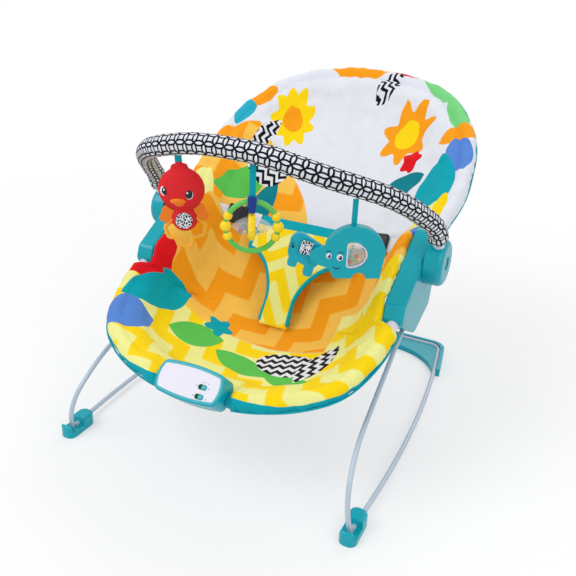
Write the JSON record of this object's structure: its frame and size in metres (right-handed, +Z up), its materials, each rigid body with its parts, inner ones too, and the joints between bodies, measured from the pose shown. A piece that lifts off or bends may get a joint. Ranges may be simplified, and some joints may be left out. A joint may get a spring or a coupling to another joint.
{
  "type": "infant bouncer seat",
  "caption": "Low bent-wire bouncer seat with a sprung padded sling, a clip-on vibration unit and a pivoting toy bar that carries hanging toys.",
  "frame": {"origin": "on the floor, under the middle of the whole object's bounding box", "axes": "+Y from the foot end towards the head end, +X across the seat to the seated child's left, +Z up"},
  "size_m": [0.4938, 0.6534, 0.4961],
  "materials": {
    "pale_steel": "powder-coated pale blue-grey",
    "tube_steel": "painted",
    "teal_plastic": "glossy moulded",
    "lavender_plastic": "satin",
    "screw_steel": "zinc plated",
    "teal_fabric": "woven binding",
    "print_fabric": "printed knit",
    "panel_fabric": "printed woven",
    "webbing": "woven webbing",
    "black_plastic": "satin",
    "sleeve_fabric": "printed knit with a ring pattern",
    "ribbon": "woven",
    "board": "solder mask",
    "motor_steel": "plain",
    "brass": "plain",
    "speaker": "plain",
    "cell": "wrapped",
    "red_vinyl": "glossy vinyl-coated fabric, stuffed",
    "orange_vinyl": "vinyl-coated fabric",
    "yellow_plastic": "soft moulded",
    "spot_disc": "printed",
    "green_plastic": "moulded",
    "navy_plastic": "moulded",
    "clear_plastic": "clear",
    "bead_plastic": "moulded",
    "teal_toy_plastic": "moulded",
    "light_teal_plastic": "moulded"
  },
  "bodies": {
    "floor_frame": {"left_floor_wire": "pale_steel", "right_floor_wire": "pale_steel", "rear_cross_wire": "pale_steel", "rear_foot": "teal_plastic", "left_front_foot": "teal_plastic", "right_front_foot": "teal_plastic"},
    "seat": {"left_leg_wire": "pale_steel", "right_leg_wire": "pale_steel", "left_hub_inner_shell": "teal_plastic", "right_hub_inner_shell": "teal_plastic", "left_hub_outer_shell": "teal_plastic", "right_hub_outer_shell": "teal_plastic", "hub_screws": "screw_steel", "drum_screws": "screw_steel", "head_frame_tube": "tube_steel", "front_frame_tube": "tube_steel", "head_hem": "teal_fabric", "front_hem": "teal_fabric", "seat_cover": "print_fabric", "crotch_panel": "panel_fabric", "left_waist_strap": "webbing", "right_waist_strap": "webbing", "left_buckle_socket": "black_plastic", "right_buckle_socket": "black_plastic", "unit_front_shell": "teal_plastic", "unit_back_shell": "teal_plastic", "unit_face_plate": "lavender_plastic", "tube_clamps": "teal_plastic", "unit_screws": "screw_steel", "circuit_board": "board", "vibration_motor": "motor_steel", "speaker": "speaker", "battery_cells": "cell", "battery_door": "teal_plastic"},
    "left_clip": {"left_buckle_clip": "black_plastic"},
    "right_clip": {"right_buckle_clip": "black_plastic"},
    "motor_weight": {"eccentric_weight": "brass"},
    "sound_switch": {"sound_knob": "teal_plastic"},
    "vibration_switch": {"vibration_knob": "teal_plastic"},
    "toy_bar": {"toy_bar_tube": "tube_steel", "toy_bar_sleeve": "sleeve_fabric", "left_toy_bar_drum": "teal_plastic", "right_toy_bar_drum": "teal_plastic"},
    "bird_toy": {"bird_ribbon": "ribbon", "bird_body": "red_vinyl", "bird_wings": "orange_vinyl", "bird_teether": "yellow_plastic", "bird_belly_disc": "spot_disc"},
    "ring_toy": {"ring_ribbon": "ribbon", "ring_hoop": "green_plastic", "ring_beads": "yellow_plastic", "ring_clamp": "navy_plastic"},
    "spinning_capsule": {"ring_capsule": "clear_plastic", "capsule_band": "yellow_plastic", "rattle_beads": "bead_plastic"},
    "elephant_toy": {"elephant_ribbon": "ribbon", "elephant_body": "teal_toy_plastic", "elephant_window": "clear_plastic", "elephant_beads": "bead_plastic"},
    "young_elephant": {"small_elephant": "light_teal_plastic"}
  },
  "joints": [
    {"name": "seat_bounce", "type": "hinge", "parent": "floor_frame", "child": "seat", "pos_m": [0, -0.2876, 0.0095], "axis": [1, 0, 0], "range_deg": [-6, 3], "stiffness_Nm_per_rad": 180, "springref_deg": 2.23},
    {"name": "toy_bar_pivot", "type": "hinge", "parent": "seat", "child": "toy_bar", "pos_m": [0, -0.0236, 0.284], "axis": [1, 0, 0], "range_deg": [-58, 8]},
    {"name": "bird_swing", "type": "hinge", "parent": "toy_bar", "child": "bird_toy", "pos_m": [-0.075, -0.21678, 0.43394], "axis": [0.8829, 0.4695, 0], "range_deg": [-40, 40]},
    {"name": "ring_swing", "type": "hinge", "parent": "toy_bar", "child": "ring_toy", "pos_m": [0.037, -0.22078, 0.44034], "axis": [0.8829, 0.4695, 0], "range_deg": [-40, 40]},
    {"name": "capsule_spin", "type": "hinge", "parent": "ring_toy", "child": "spinning_capsule", "pos_m": [0.037, -0.22078, 0.36034], "axis": [0.8829, 0.4695, 0], "continuous": true},
    {"name": "elephant_swing", "type": "hinge", "parent": "toy_bar", "child": "elephant_toy", "pos_m": [0.155, -0.17276, 0.40452], "axis": [0.8829, 0.4695, 0], "range_deg": [-40, 25]},
    {"name": "young_elephant_swing", "type": "hinge", "parent": "elephant_toy", "child": "young_elephant", "pos_m": [0.11703, -0.19295, 0.33152], "axis": [0.4695, -0.8829, 0], "range_deg": [-15, 15]},
    {"name": "sound_switch_slide", "type": "slide", "parent": "seat", "child": "sound_switch", "axis": [1, 0, 0], "range_m": [-0.005, 0]},
    {"name": "vibration_switch_slide", "type": "slide", "parent": "seat", "child": "vibration_switch", "axis": [1, 0, 0], "range_m": [-0.005, 0]},
    {"name": "motor_spin", "type": "hinge", "parent": "seat", "child": "motor_weight", "pos_m": [0, -0.29579, 0.17269], "axis": [1, 0, 0], "continuous": true},
    {"name": "left_buckle_release", "type": "slide", "parent": "seat", "child": "left_clip", "axis": [0.9723, 0.1804, -0.1486], "range_m": [0, 0.015]},
    {"name": "right_buckle_release", "type": "slide", "parent": "seat", "child": "right_clip", "axis": [-0.9723, 0.1804, -0.1486], "range_m": [0, 0.015]}
  ]
}
